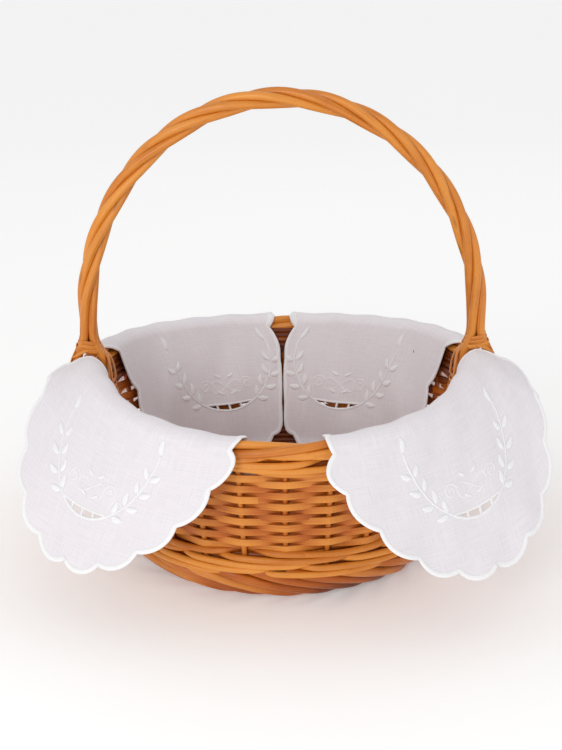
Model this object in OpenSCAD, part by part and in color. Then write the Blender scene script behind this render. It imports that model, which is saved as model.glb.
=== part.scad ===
// Round willow flower basket with a twisted bow handle and four draped linen doilies.
// Millimetres. +Z is up, the handle stands in the XZ plane and the front faces -Y.
// The origin is at the middle of the ring that the basket stands on.

/* [Basket body] */
// Radius of the rim, measured to the middle of its rolled border
rim_r = 127; // [124:0.5:130]
// Height of the top of the rim at the front and the back
body_h = 117; // [114:1:122]
// How much higher the rim is at the handle than at the front
saddle = 10; // [4:1:12]
// Radius of the wall where it starts to round in towards the base
waist_r = 113.2; // [111:0.1:115]
// Height of that place above the ground
waist_h = 40; // [38:1:42]

/* [Willow] */
// Number of upright stakes, a multiple of four
stakes = 28; // [24, 28, 32]
// Thickness of a stake
stake_d = 3.6; // [3:0.1:3.8]
// Number of rows of flat split weavers in the side
rows = 14; // [8:1:14]
// Height from one row to the next
row_pitch = 3.85; // [3.7:0.05:3.95]
// Width of a split weaver
split_w = 3.4; // [2.8:0.1:3.5]
// Thickness of a split weaver
split_t = 1.8; // [1.2:0.1:2]
// Thickness of a round waling rod
wale_d = 3.6; // [3:0.1:3.7]
// Thickness of a rod in the rim border
border_d = 4.8; // [4.6:0.1:5.1]
// Thickness of a rod in the foot border
foot_d = 6.8; // [6:0.1:6.8]

/* [Handle] */
// Half the width of the bow, to the middle of the rods
bow_half = 127.7; // [126:0.1:129]
// Height of the top of the bow, to the middle of the rods
bow_top = 298; // [270:1:320]
// Thickness of a handle rod
rod_d = 5.3; // [5:0.1:5.5]
// Quarter turns of the twist from end to end, an odd number
quarter_turns = 13; // [9, 11, 13]

/* [Doilies] */
// Thickness of the cloth solids
cloth_t = 1; // [0.8:0.1:1.2]
// Length of cloth from the top of the rim to the outer end
drop_out = 105; // [90:1:108]
// Length of cloth from the top of the rim to the inner end
drop_in = 112; // [90:1:114]
// How far the middle of a front flap leans out from upright
front_flare = 44; // [30:0.5:50]
// How much more a front flap leans out towards the handle than away from it
front_growth = 28; // [0:1:30]
// How much more a front flap leans out at both edges than in its middle
front_bow = 24; // [0:1:26]
// How far the middle of a back flap leans out from upright
back_flare = 30.5; // [15:0.5:40]
// How much more a back flap leans out towards the handle than away from it
back_growth = 10; // [0:1:20]
// How much more a back flap leans out at both edges than in its middle
back_bow = 8; // [0:1:20]
// Angle from the front to the near edge of a front doily
front_gap = 10.5; // [8:0.5:14]
// Angle from the front to the far edge of a front doily, by the handle
front_reach = 84; // [80:0.5:84]
// Angle from the back to the near edge of a back doily
back_gap = 5; // [4:0.5:12]
// Angle from the back to the far edge of a back doily, by the handle
back_reach = 80.5; // [78:0.5:84]

/* [Hidden] */
ROWS = [for (i = [1:rows]) str("randing_row_", i < 10 ? "0" : "", i)];

willow = [0.72, 0.43, 0.18];
willow_light = [0.80, 0.53, 0.28];
willow_dark = [0.55, 0.29, 0.11];
linen = [0.93, 0.91, 0.92];

stake_r = stake_d / 2;

// Border rods stand this far off the middle of the roll and go round it this often
border_offset = 3.02;
border_turns = 7;
border_level = body_h - border_offset - border_d / 2 - 0.15;

// Levels of the weaving, and its room round the stakes
upper_band = 18.7;
row_top = border_level - upper_band;
row_bottom = row_top - (rows - 1) * row_pitch;
wale_pitch = 3.7;
upper_gap = 4;
lower_gap = 4.1;
wale_step = stake_r + wale_d / 2 + 0.25;
row_step = stake_r + split_t / 2 + 0.5;

// The base's level, and how the wall rounds in below the waist
base_level = 10;
round_in = 16.2;
round_h = 32;
foot_bend = [109.5, 24];
wall_foot = 31;

// Handle rods stand this far off the bow's middle line; the bow springs at this level
rod_r = rod_d / 2;
rod_offset = 3.95;
bow_spring = body_h + 40;

// ---- shape rules -------------------------------------------------------

// How far the saddle of the rim lifts a point at this angle and level
function lift(angle, level) =
    saddle * pow(cos(angle), 2) * pow(max(0, (level - waist_h) / (border_level - waist_h)), 1.5);

// Radius of the middle of the wall at a level
function wall_r(level) =
    level >= waist_h
        ? waist_r + (rim_r - waist_r) * (level - waist_h) / (border_level - waist_h)
        : waist_r - round_in * (1 - sqrt(1 - pow((waist_h - level) / round_h, 2)));

// Radius of the middle of the stakes, which run straight from the foot's bend to the wall
function stake_r_at(level) =
    level >= wall_foot
        ? wall_r(level)
        : lookup(level, [[foot_bend[1], foot_bend[0]], [wall_foot, wall_r(wall_foot)]]);

function at(angle, r, level) =
    [r * cos(angle), r * sin(angle), level + lift(angle, level)];

// Triangles between rings of n points each; closed joins the last ring to the first
function skin(rings, n, closed) = [
    for (i = [0:rings - (closed ? 1 : 2)], j = [0:n - 1])
        let (a = i * n + j, b = i * n + (j + 1) % n,
             c = ((i + 1) % rings) * n + (j + 1) % n, d = ((i + 1) % rings) * n + j)
        each [[a, b, c], [a, c, d]]];

// Flat ends of an open tube of rings
function caps(rings, n) = [
    [for (j = [n - 1:-1:0]) j],
    [for (j = [0:n - 1]) (rings - 1) * n + j]];

// A ring around the basket with the given half width and half height;
// centre is a list of [angle, radius, level]
module closed_ring(centres, half_w, half_h, sides) {
    points = [for (c = centres, j = [0:sides - 1])
        let (t = (j + 0.5) * 360 / sides, k = 1 / cos(180 / sides) * (sides == 4 ? 1 : cos(180 / sides)))
        at(c[0], c[1] + half_w * k * cos(t), c[2]) + [0, 0, half_h * k * sin(t)]];
    polyhedron(points, skin(len(centres), sides, true), convexity = 8);
}

// ---- base --------------------------------------------------------------

module base_slath() {
    color(willow_dark)
        translate([0, 0, base_level - 2.2])
            cylinder(r = 9, h = 4.4, $fn = 48);
}

module base_sticks() {
    color(willow)
        for (i = [0:15])
            rotate(i * 22.5 + 11.25)
                translate([9.3, 0, base_level])
                    rotate([0, 90, 0])
                        cylinder(r = 1.6, h = 74, $fn = 24);
}

module base_rings(level) {
    for (i = [0:11])
        rotate_extrude($fn = 96)
            translate([17 + i * 6.2, level])
                circle(r = 1.45, $fn = 20);
}

module base_weave_upper() { color(willow) base_rings(base_level + 3.2); }
module base_weave_lower() { color(willow_dark) base_rings(base_level - 3.2); }

// ---- foot --------------------------------------------------------------

// Middle of each foot rod, [radius, level], from the ground up
foot_places = [[94.5, 3.1], [102, 8], [108, 15], [114.4, 21.3]];

module foot_ring(place) {
    color(willow)
        rotate_extrude($fn = 128)
            intersection() {
                translate(place) circle(r = foot_d / 2, $fn = 36);
                square([150, 40]);
            }
}

module foot_rod_1() { foot_ring(foot_places[0]); }
module foot_rod_2() { foot_ring(foot_places[1]); }
module foot_rod_3() { foot_ring(foot_places[2]); }
module foot_rod_4() { foot_ring(foot_places[3]); }

// ---- stakes ------------------------------------------------------------

// Middle of a stake, [radius, level], from the base to the border
stake_path = concat(
    [[88, 10.5], [97, 13.5], [104, 18.5], foot_bend],
    [for (level = [wall_foot, waist_h, 67, 92, border_level]) [wall_r(level), level]]);

module side_stakes() {
    sides = 6;
    n = len(stake_path);
    color(willow_dark)
        for (k = [0:stakes - 1])
            let (angle = k * 360 / stakes)
            polyhedron([for (i = [0:n - 1], j = [0:sides - 1])
                let (before = stake_path[max(0, i - 1)], after = stake_path[min(n - 1, i + 1)],
                     slope = atan2(after[1] - before[1], after[0] - before[0]),
                     t = j * 360 / sides, here = stake_path[i],
                     r = here[0] - stake_r * cos(t) * sin(slope),
                     level = here[1] + stake_r * cos(t) * cos(slope),
                     side = stake_r * sin(t),
                     up = lift(angle, here[1]))
                [r * cos(angle) + side * sin(angle), r * sin(angle) - side * cos(angle), level + up]],
                concat(skin(n, sides, false), caps(n, sides)), convexity = 4);
}

// ---- weaving -----------------------------------------------------------

// A flat split passes outside every second stake and inside the others
module randing_row(i) {
    level = row_top - i * row_pitch;
    color(i % 2 == 0 ? willow_light : willow)
        closed_ring([for (k = [0:stakes - 1])
            [k * 360 / stakes, wall_r(level) + row_step * ((k + i) % 2 == 0 ? 1 : -1), level]],
            split_t / 2, split_w / 2, 4);
}

// A waling rod passes outside three stakes and inside the fourth
module wale(level, shift) {
    color(willow)
        closed_ring([for (k = [0:stakes - 1])
            [k * 360 / stakes, stake_r_at(level) + wale_step * ((k + shift) % 4 == 0 ? -1 : 1), level]],
            wale_d / 2, wale_d / 2, 6);
}

module lower_wale(i) { wale(row_bottom - lower_gap - i * wale_pitch, i); }
module upper_wale(i) { wale(row_top + upper_gap + i * wale_pitch, i); }

module lower_wale_1() { lower_wale(0); }
module lower_wale_2() { lower_wale(1); }
module lower_wale_3() { lower_wale(2); }
module lower_wale_4() { lower_wale(3); }
module upper_wale_1() { upper_wale(0); }
module upper_wale_2() { upper_wale(1); }
module upper_wale_3() { upper_wale(2); }

// Three rods rolled round each other make the rim
module border_rod(i) {
    stations = 84;
    color(willow_light)
        closed_ring([for (s = [0:stations - 1])
            let (angle = s * 360 / stations, turn = border_turns * angle + i * 120)
            [angle, rim_r + border_offset * cos(turn), border_level + border_offset * sin(turn)]],
            border_d / 2, border_d / 2, 6);
}

module rim_border_1() { border_rod(0); }
module rim_border_2() { border_rod(1); }
module rim_border_3() { border_rod(2); }

// ---- handle ------------------------------------------------------------

side_top = body_h + saddle;
inner_end = side_top - 58;
outer_end = side_top - 15;

// The rods come together this far above the rim, over a stretch of this length,
// from this far off the border's middle
leg_gather = 13;
leg_run = 11;
leg_part = 9.1;
wall_slope = (rim_r - waist_r) / (border_level - waist_h);

// Middle of the bow and its outward direction, from the left end to the right:
// [x, z, nx, nz, twist]
function bow_station(s) =
    let (c = cos(s), h = sin(s), rise = bow_top - bow_spring,
         nx = -c / bow_half, nz = h / rise, n = norm([nx, nz]))
    [-bow_half * c, bow_spring + rise * h, nx / n, nz / n, quarter_turns * s / 2];

// Spread of a leg: rods part to pass inside and outside the border
function leg_spread(level) =
    let (k = min(1, max(0, (side_top + leg_gather - level) / leg_run)))
    rod_offset * cos(45) * (1 - k) + leg_part * k;

// Centre of rod i at a leg level on the side sx; q is the quarter it stands in
function leg_point(sx, level, q) =
    let (out = (q == 0 || q == 3) ? 1 : -1, front = q < 2 ? -1 : 1,
         base_x = level > border_level ? bow_half : bow_half - wall_slope * (side_top - 2 - level))
    [sx * (base_x + out * leg_spread(level)), front * rod_offset * cos(45), level];

module handle_rod(i) {
    sides = 8;
    q_right = (i + quarter_turns) % 4;
    left = [for (z = concat([(i == 0 || i == 3) ? outer_end : inner_end],
        [for (up = [-12, -4, 2, 7, leg_gather, 22]) side_top + up]))
        leg_point(-1, z, i)];
    arch = [for (s = [4:4:176])
        let (b = bow_station(s), t = 45 + 90 * i + b[4])
        [b[0] + rod_offset * cos(t) * b[2], -rod_offset * sin(t), b[1] + rod_offset * cos(t) * b[3]]];
    right = [for (z = concat([for (up = [22, leg_gather, 7, 2, -4, -12]) side_top + up],
        [(q_right == 0 || q_right == 3) ? outer_end : inner_end]))
        leg_point(1, z, q_right)];
    path = concat(left, arch, right);
    n = len(path);
    color(willow_light)
        polyhedron([for (m = [0:n - 1], j = [0:sides - 1])
            let (d = path[min(n - 1, m + 1)] - path[max(0, m - 1)],
                 u = [d[0], 0, d[2]] / norm([d[0], 0, d[2]]),
                 across = [-u[2], 0, u[0]], t = j * 360 / sides)
            path[m] + rod_r * (cos(t) * across + sin(t) * [0, 1, 0])],
            concat(skin(n, sides, false), caps(n, sides)), convexity = 10);
}

module handle_rod_1() { handle_rod(0); }
module handle_rod_2() { handle_rod(1); }
module handle_rod_3() { handle_rod(2); }
module handle_rod_4() { handle_rod(3); }

// A bound ring of skein round the four rods, just above the border
module collar(sx) {
    inner_r = 7.9;
    skein_t = 1.1;
    height = 5;
    color(willow)
        translate([sx * bow_half, 0, side_top + 14.5])
            difference() {
                cylinder(r = inner_r + skein_t, h = height, $fn = 48);
                translate([0, 0, -1]) cylinder(r = inner_r, h = height + 2, $fn = 48);
            }
}

module handle_collar_left() { collar(-1); }
module handle_collar_right() { collar(1); }

// Two bands of skein laid over the border beside the rods
module border_wrap(sx) {
    inner_r = 6.7;
    skein_t = 1.2;
    skein_w = 2.4;
    beside = 8.6;
    color(willow_light)
        for (side = [-1, 1])
            translate([sx * (rim_r + 0.6), side * beside, border_level + saddle])
                rotate([90, 0, 0])
                    linear_extrude(skein_w, center = true)
                        difference() {
                            circle(r = inner_r + skein_t, $fn = 48);
                            circle(r = inner_r, $fn = 48);
                            translate([-10, -20]) square([20, 20]);
                        }
}

module border_wrap_left() { border_wrap(-1); }
module border_wrap_right() { border_wrap(1); }

// ---- doilies -----------------------------------------------------------

// Radius of the fold over the rim, inside and outside
fold_r = 6.9;
fold_out_r = 11;

// Half the width of a flap, how far it hangs away from the handle, and its most lean
flap_half = 91.5;
flap_skew = 0.28;
most_flare = 78;
widen_run = 250;

// Inside, the cloth reaches on towards its neighbour but stops short of the middle, draws
// in by the handle and rounds off
reach_past = 10;
reach_run = 60;
near_stop = 1.6;
draw_in = 17;
draw_run = 25;

// Radius and level of the cloth at length t past the top of the rim;
// t is above 0 outside the basket and below 0 inside it
function outside(t, flare) =
    let (turn = 90 - flare, bend = fold_out_r * turn * PI / 180,
         a = min(t, bend) / fold_out_r * 180 / PI, run = max(0, t - bend))
    [rim_r + fold_out_r * sin(a) + run * cos(turn),
     border_level + fold_r - fold_out_r * (1 - cos(a)) - run * sin(turn)];

// Inside, the cloth folds over the rim, lies along the wall and turns in on the floor
turn_level = 29;
wall_lean = atan(wall_slope);
fold_len = fold_r * (90 - wall_lean) * PI / 180;
wall_len = (border_level - turn_level) / cos(wall_lean);
floor_turn = 12;
floor_len = floor_turn * (90 - wall_lean) * PI / 180;

function inside(t) =
    let (s = -t, a = min(s, fold_len) / fold_r * 180 / PI,
         run = min(wall_len, max(0, s - fold_len)),
         b = min(floor_len, max(0, s - fold_len - wall_len)) / floor_turn * 180 / PI,
         flat = max(0, s - fold_len - wall_len - floor_len))
    [rim_r - fold_r * sin(a) - run * sin(wall_lean)
        - floor_turn * (cos(wall_lean) - cos(wall_lean + b)) - flat,
     border_level + fold_r - fold_r * (1 - cos(a)) - run * cos(wall_lean)
        - floor_turn * (sin(wall_lean + b) - sin(wall_lean))];

// One quarter of a rounded outline: 1 at x = 0 and 0 at x = 1
function blunt(x, power) = pow(max(0, 1 - pow(x, power)), 1 / power);

// Edges of the cloth at length t, as arc lengths from the front or back middle plane;
// flare is [in the middle, growth, bow]
function edges(t, from, to, flare) =
    t >= 0
        ? let (mid = (from + to) / 2 * PI / 180 * outside(t, flare[0])[0] - flap_skew * t,
               start = (to - from) / 2 * PI / 180 * rim_r / flap_half,
               half = flap_half * blunt(t / drop_out, 1.9) * min(1, start + t / widen_run))
          [mid - half, mid + half]
        : let (r = inside(t)[0], deep = min(1, -t / reach_run),
               lo = max(near_stop, from * PI / 180 * r - deep * reach_past),
               hi = (to - draw_in * (1 - exp(t / draw_run))) * PI / 180 * r,
               k = blunt(max(0, -t - reach_run) / (drop_in - reach_run), 2.4))
          [(lo + hi) / 2 - k * (hi - lo) / 2, (lo + hi) / 2 + k * (hi - lo) / 2];

// Place of the middle of the cloth at arc length a and length t
function cloth_mid(a, t, from, to, flare) =
    let (g = (a / outside(max(0, t), flare[0])[0] * 180 / PI - (from + to) / 2) / ((to - from) / 2),
         lean = min(most_flare, flare[0] + flare[1] * g + flare[2] * g * g),
         q = t >= 0 ? outside(t, lean) : inside(t),
         angle = a / q[0] * 180 / PI,
         high = t >= 0 ? 1 : min(1, max(0, (q[1] - waist_h) / (border_level - waist_h))),
         up = saddle * pow(sin(angle), 2) * pow(high, 1.5))
    [q[0] * sin(angle), q[0] * cos(angle), q[1] + up];

// The same place moved off along the cloth's normal
function cloth_place(a, t, from, to, flare, off) =
    let (e = 0.4, t2 = t > 0 || (t == 0 && off > 0) ? t + e : t - e, s = t2 > t ? 1 : -1,
         p = cloth_mid(a, t, from, to, flare),
         du = cloth_mid(a + e, t, from, to, flare) - cloth_mid(a - e, t, from, to, flare),
         dt = (cloth_mid(a, t2, from, to, flare) - p) * s, n = cross(du, dt))
    p + n * (off / norm(n));

module doily(sx, sy) {
    from = sy < 0 ? front_gap : back_gap;
    to = sy < 0 ? front_reach : back_reach;
    flare = sy < 0 ? [front_flare, front_growth, front_bow] : [back_flare, back_growth, back_bow];
    short = 1.2;
    ts = concat([for (i = [10:-1:1]) -fold_len - (drop_in - fold_len) * sin(i * 9 - short)],
                [for (i = [3:-1:0]) -fold_len * i / 3], [4, 8, 12],
                [for (i = [1:8]) 12 + (drop_out - 12) * sin(i * 11.25 - short)]);
    across = 14;
    n = len(ts);
    layer = [for (off = [-cloth_t / 2, cloth_t / 2], t = ts, j = [0:across - 1])
        let (e = edges(t, from, to, flare), a = e[0] + (e[1] - e[0]) * j / (across - 1),
             p = cloth_place(a, t, from, to, flare, off))
        [sx * p[0], sy * p[1], p[2]]];
    size = n * across;
    flip = sx * sy > 0;
    quads = concat(
        [for (i = [0:n - 2], j = [0:across - 2])
            each let (a = i * across + j) [[a, a + 1, a + across + 1, a + across],
                [size + a + across, size + a + across + 1, size + a + 1, size + a]]],
        [for (i = [0:n - 2])
            each let (a = i * across, b = a + across - 1)
                [[a + across, size + a + across, size + a, a],
                 [b, size + b, size + b + across, b + across]]],
        [for (j = [0:across - 2])
            each let (a = j, b = (n - 1) * across + j)
                [[a, size + a, size + a + 1, a + 1],
                 [b + 1, size + b + 1, size + b, b]]]);
    faces = [for (f = quads) each [[f[0], f[1], f[2]], [f[0], f[2], f[3]]]];
    color(linen)
        polyhedron(layer, flip ? [for (f = faces) [f[2], f[1], f[0]]] : faces, convexity = 10);
}

module doily_front_left() { doily(-1, -1); }
module doily_front_right() { doily(1, -1); }
module doily_back_left() { doily(-1, 1); }
module doily_back_right() { doily(1, 1); }

// ---- the object --------------------------------------------------------

base_slath();
base_sticks();
base_weave_upper();
base_weave_lower();
foot_rod_1();
foot_rod_2();
foot_rod_3();
foot_rod_4();
side_stakes();
lower_wale_1();
lower_wale_2();
lower_wale_3();
lower_wale_4();
for (i = [0:rows - 1])
    randing_row(i);
upper_wale_1();
upper_wale_2();
upper_wale_3();
rim_border_1();
rim_border_2();
rim_border_3();
handle_rod_1();
handle_rod_2();
handle_rod_3();
handle_rod_4();
handle_collar_left();
handle_collar_right();
border_wrap_left();
border_wrap_right();
doily_front_left();
doily_front_right();
doily_back_left();
doily_back_right();
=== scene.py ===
"""A round willow flower basket with a twisted bow handle and four embroidered linen doilies.

The willow is swept along its paths with Geometry Nodes; the linen is cut flat, scalloped, embroidered
and then laid over the rim. Lengths are in metres, +Z is up and the front faces -Y.
"""

import bmesh
import bpy
import numpy as np
from bpy.props import FloatProperty, FloatVectorProperty, IntProperty, PointerProperty
from bpy.types import Operator, Panel, PropertyGroup
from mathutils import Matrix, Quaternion, Vector


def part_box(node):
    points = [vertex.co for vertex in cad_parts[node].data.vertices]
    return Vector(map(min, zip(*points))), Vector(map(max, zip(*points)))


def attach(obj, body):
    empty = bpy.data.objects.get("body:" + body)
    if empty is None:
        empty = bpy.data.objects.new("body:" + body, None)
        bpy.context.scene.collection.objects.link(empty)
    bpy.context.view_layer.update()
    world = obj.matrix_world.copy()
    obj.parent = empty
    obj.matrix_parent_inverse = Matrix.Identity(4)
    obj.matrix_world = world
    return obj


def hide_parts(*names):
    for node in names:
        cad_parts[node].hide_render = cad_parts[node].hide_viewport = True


bl_info = {
    "name": "Willow Flower Basket",
    "version": (1, 0, 0),
    "blender": (4, 5, 0),
    "location": "3D View > Sidebar > Basket",
    "description": "Weaves a willow flower basket and lays four embroidered doilies over its rim",
    "category": "Add Mesh",
}

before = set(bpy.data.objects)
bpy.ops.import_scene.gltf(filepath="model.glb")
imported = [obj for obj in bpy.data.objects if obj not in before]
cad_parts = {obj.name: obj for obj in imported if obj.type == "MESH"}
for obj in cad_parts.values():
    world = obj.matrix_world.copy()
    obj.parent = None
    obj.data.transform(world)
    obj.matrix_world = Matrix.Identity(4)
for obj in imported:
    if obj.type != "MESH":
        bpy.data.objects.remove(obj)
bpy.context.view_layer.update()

TAU = 2 * np.pi
ROWS = sorted(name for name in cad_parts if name.startswith("randing_row"))
HANDLE_TOP = max(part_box(f"handle_rod_{i}")[1][2] for i in range(1, 5))


# ---- what a user can change ----------------------------------------------


class WillowSizes(PropertyGroup):
    """Sizes of the woven body"""

    rim_radius: FloatProperty(
        name="Rim radius", description="Middle of the rolled border", default=0.127, unit="LENGTH")
    body_height: FloatProperty(
        name="Body height", description="Top of the rim at the front", default=0.117, unit="LENGTH")
    saddle: FloatProperty(
        name="Saddle", description="How much the rim rises at the handle", default=0.010, unit="LENGTH")
    waist_radius: FloatProperty(
        name="Waist radius", description="Wall radius where it starts to round in", default=0.1132,
        unit="LENGTH")
    waist_height: FloatProperty(
        name="Waist height", description="Height of that place", default=0.040, unit="LENGTH")
    stakes: IntProperty(name="Stakes", description="Uprights in the side", default=28, min=24, max=32)
    stake: FloatProperty(
        name="Stake", description="Thickness of a stake", default=0.0036, unit="LENGTH")
    row_pitch: FloatProperty(
        name="Row pitch", description="Height from one row to the next", default=0.00385,
        unit="LENGTH")
    split_width: FloatProperty(
        name="Split width", description="Width of a flat weaver", default=0.0044, unit="LENGTH")
    split: FloatProperty(
        name="Split", description="Thickness of a flat weaver", default=0.0016, unit="LENGTH")
    waling: FloatProperty(
        name="Waling rod", description="Thickness of a waling rod", default=0.0042, unit="LENGTH")
    border: FloatProperty(
        name="Border rod", description="Thickness of a rod in the rim", default=0.0053,
        unit="LENGTH")
    foot: FloatProperty(
        name="Foot rod", description="Thickness of a rod in the foot", default=0.0062,
        unit="LENGTH")


class HandleSizes(PropertyGroup):
    """Sizes of the bow handle"""

    half_width: FloatProperty(
        name="Half width", description="Half the width of the bow", default=0.1277, unit="LENGTH")
    top: FloatProperty(
        name="Top", description="Height of the middle of the bow's top", default=HANDLE_TOP - 0.0065,
        unit="LENGTH")
    rod: FloatProperty(
        name="Rod", description="Thickness of a handle rod", default=0.0057, unit="LENGTH")
    quarter_turns: IntProperty(
        name="Quarter turns", description="Twist from end to end", default=13, min=9, max=13)


class DoilySizes(PropertyGroup):
    """Sizes of the doilies"""

    outer: FloatProperty(
        name="Outer length", description="Rim to outer hem", default=0.1055, unit="LENGTH")
    inner: FloatProperty(
        name="Inner length", description="Rim to inner hem", default=0.112, unit="LENGTH")
    half_width: FloatProperty(
        name="Half width", description="Half the width of a flap", default=0.0915, unit="LENGTH")
    scallops: IntProperty(
        name="Scallops", description="Scallops round one doily", default=22, min=12, max=40)
    scallop: FloatProperty(
        name="Scallop depth", description="Depth of a scallop", default=0.0045, unit="LENGTH")
    hem: FloatProperty(
        name="Hem", description="Width of the satin hem", default=0.0032, unit="LENGTH")
    front_flare: FloatProperty(
        name="Front flare", description="Lean of a front flap", default=np.radians(44.8),
        subtype="ANGLE")
    front_growth: FloatProperty(
        name="Front growth", description="More lean of a front flap towards the handle",
        default=np.radians(30), subtype="ANGLE")
    front_bow: FloatProperty(
        name="Front bow", description="More lean of a front flap at both edges",
        default=np.radians(25), subtype="ANGLE")
    back_flare: FloatProperty(
        name="Back flare", description="Lean of a back flap", default=np.radians(30.5),
        subtype="ANGLE")
    back_growth: FloatProperty(
        name="Back growth", description="More lean of a back flap towards the handle",
        default=np.radians(10), subtype="ANGLE")
    back_bow: FloatProperty(
        name="Back bow", description="More lean of a back flap at both edges",
        default=np.radians(8), subtype="ANGLE")
    skew: FloatProperty(
        name="Skew", description="How far a flap hangs away from the handle", default=0.29)
    spread: FloatProperty(
        name="Spread", description="How much wider the right front flap lies than the left",
        default=1.0)


class Finishes(PropertyGroup):
    """Colours of the materials"""

    # Darkest willow: the rods' own dark streaks, and the colour that the painted shade inside the wall
    # darkens towards
    willow_deep_and_shade: FloatVectorProperty(
        name="Willow, deep", description="Varnish in the hollows", default=(0.13, 0.022, 0.001),
        subtype="COLOR", size=3)
    willow_mid: FloatVectorProperty(
        name="Willow, mid", description="Most of the willow", default=(0.50, 0.120, 0.005),
        subtype="COLOR", size=3)
    willow_light: FloatVectorProperty(
        name="Willow, light", description="Pale stretches", default=(0.84, 0.350, 0.055),
        subtype="COLOR", size=3)
    linen: FloatVectorProperty(
        name="Linen", description="Ground of the doilies", default=(0.82, 0.785, 0.810),
        subtype="COLOR", size=3)
    thread: FloatVectorProperty(
        name="Thread", description="Embroidery thread", default=(0.95, 0.945, 0.945),
        subtype="COLOR", size=3)


class BasketSettings(PropertyGroup):
    """All settings of the basket"""

    willow: PointerProperty(type=WillowSizes, name="Willow")
    handle: PointerProperty(type=HandleSizes, name="Handle")
    doily: PointerProperty(type=DoilySizes, name="Doilies")
    finish: PointerProperty(type=Finishes, name="Finishes")


def settings():
    """The basket's settings in this scene."""
    return bpy.context.scene.willow_basket


# ---- materials -------------------------------------------------------------

# Distance from the middle of the wall over which the painted shade, darker inside and lighter outside,
# changes by its full strength
WALL_SHADE_DEPTH = 0.0040


class Nodes:
    """Short calls for building a material's node tree."""

    def __init__(self, name):
        old = bpy.data.materials.get(name)
        if old:
            bpy.data.materials.remove(old)
        self.material = bpy.data.materials.new(name)
        self.material.use_nodes = True
        self.tree = self.material.node_tree
        self.shader = self.tree.nodes["Principled BSDF"]

    def put(self, kind, settings=None, **inputs):
        node = self.tree.nodes.new(kind)
        for key, value in (settings or {}).items():
            setattr(node, key, value)
        for key, value in inputs.items():
            self.link(value, node.inputs[int(key[1:]) if key[0] == "i" and key[1:].isdigit() else key])
        return node

    def link(self, value, socket):
        if isinstance(value, bpy.types.NodeSocket):
            self.tree.links.new(value, socket)
        else:
            socket.default_value = value

    def attribute(self, name):
        return self.put("ShaderNodeAttribute", {"attribute_name": name})

    def maths(self, operation, a, b=0.0, c=0.0):
        return self.put("ShaderNodeMath", {"operation": operation}, i0=a, i1=b, i2=c).outputs[0]

    def vector(self, x, y, z):
        return self.put("ShaderNodeCombineXYZ", i0=x, i1=y, i2=z).outputs[0]

    def noise(self, vector, scale, detail=3.0, roughness=0.5):
        node = self.put("ShaderNodeTexNoise", None, Vector=vector, Scale=scale, Detail=detail,
                        Roughness=roughness)
        return node.outputs["Fac"]

    def ramp(self, value, stops):
        node = self.put("ShaderNodeValToRGB", i0=value)
        elements = node.color_ramp.elements
        while len(elements) < len(stops):
            elements.new(0.5)
        for element, (place, colour) in zip(elements, stops):
            element.position = place
            element.color = (*colour, 1.0)
        return node.outputs[0]

    def mix(self, amount, a, b, blend="MIX"):
        node = self.put("ShaderNodeMix", {"data_type": "RGBA", "blend_type": blend})
        self.link(amount, node.inputs[0])
        self.link(a, node.inputs[6])
        self.link(b, node.inputs[7])
        return node.outputs[2]

    def bump(self, height, distance, strength=1.0, normal=None):
        node = self.put("ShaderNodeBump", None, Height=height, Distance=distance, Strength=strength)
        if normal is not None:
            self.link(normal, node.inputs["Normal"])
        return node.outputs[0]

    def finish(self, **inputs):
        for key, value in inputs.items():
            self.link(value, self.shader.inputs[key.replace("_", " ")])
        return self.material


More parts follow.
